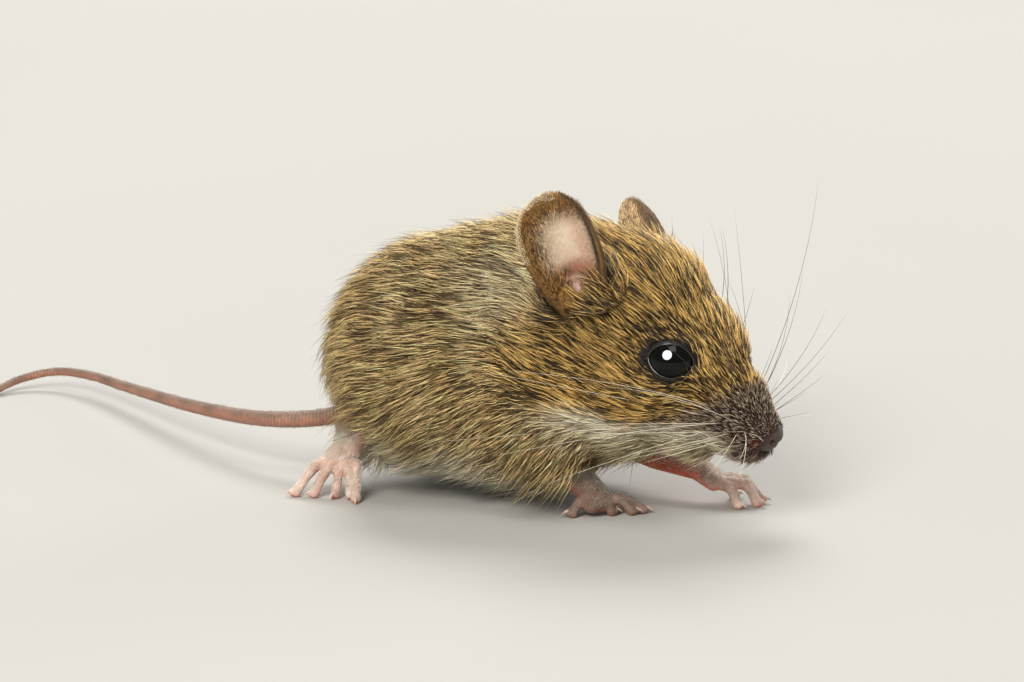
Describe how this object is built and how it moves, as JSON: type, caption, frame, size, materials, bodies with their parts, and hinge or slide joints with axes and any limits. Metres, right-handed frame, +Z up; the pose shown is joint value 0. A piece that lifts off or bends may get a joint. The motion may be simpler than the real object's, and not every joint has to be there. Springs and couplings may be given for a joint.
{
  "type": "field mouse",
  "caption": "Life-size still model of a young long-tailed field mouse, crouched in mid step with its head low, ears raised and tail curved behind it.",
  "frame": {"origin": "on the floor, under the middle of the part's bounding box", "axes": "+X forwards, the way the animal walks, +Y to its left, +Z up"},
  "size_m": [0.0858, 0.0328, 0.0303],
  "materials": {
    "coat_back": "dense soft fur, golden brown ticked with black",
    "coat_flank": "dense soft fur, paler golden brown to buff grey",
    "coat_face": "short dense fur, golden brown ticked with black",
    "coat_muzzle": "very short stiff dark fur with pale tips",
    "coat_throat": "short soft cream fur",
    "nose_skin": "bare damp dark skin",
    "ear_skin": "thin bare skin with very short fine hair",
    "foot_skin": "bare pinkish white skin with fine pale hair",
    "tail_skin": "ringed reddish brown skin with sparse bristles",
    "eye": "wet glossy black"
  },
  "bodies": {
    "root": {"ear_left": "ear_skin", "ear_right": "ear_skin", "eye_left": "eye", "eye_right": "eye", "foot_fore_left": "foot_skin", "foot_fore_right": "foot_skin", "foot_hind_left": "foot_skin", "foot_hind_right": "foot_skin", "head": "coat_face", "lower_jaw": "coat_throat", "muzzle": "coat_muzzle", "neck": "coat_back", "nose": "nose_skin", "shoulder_left": "coat_flank", "shoulder_right": "coat_flank", "tail_1": "tail_skin", "tail_2": "tail_skin", "tail_3": "tail_skin", "tail_4": "tail_skin", "tail_5": "tail_skin", "tail_6": "tail_skin", "thigh_left": "coat_flank", "thigh_right": "coat_flank", "trunk": "coat_back"}
  },
  "joints": []
}
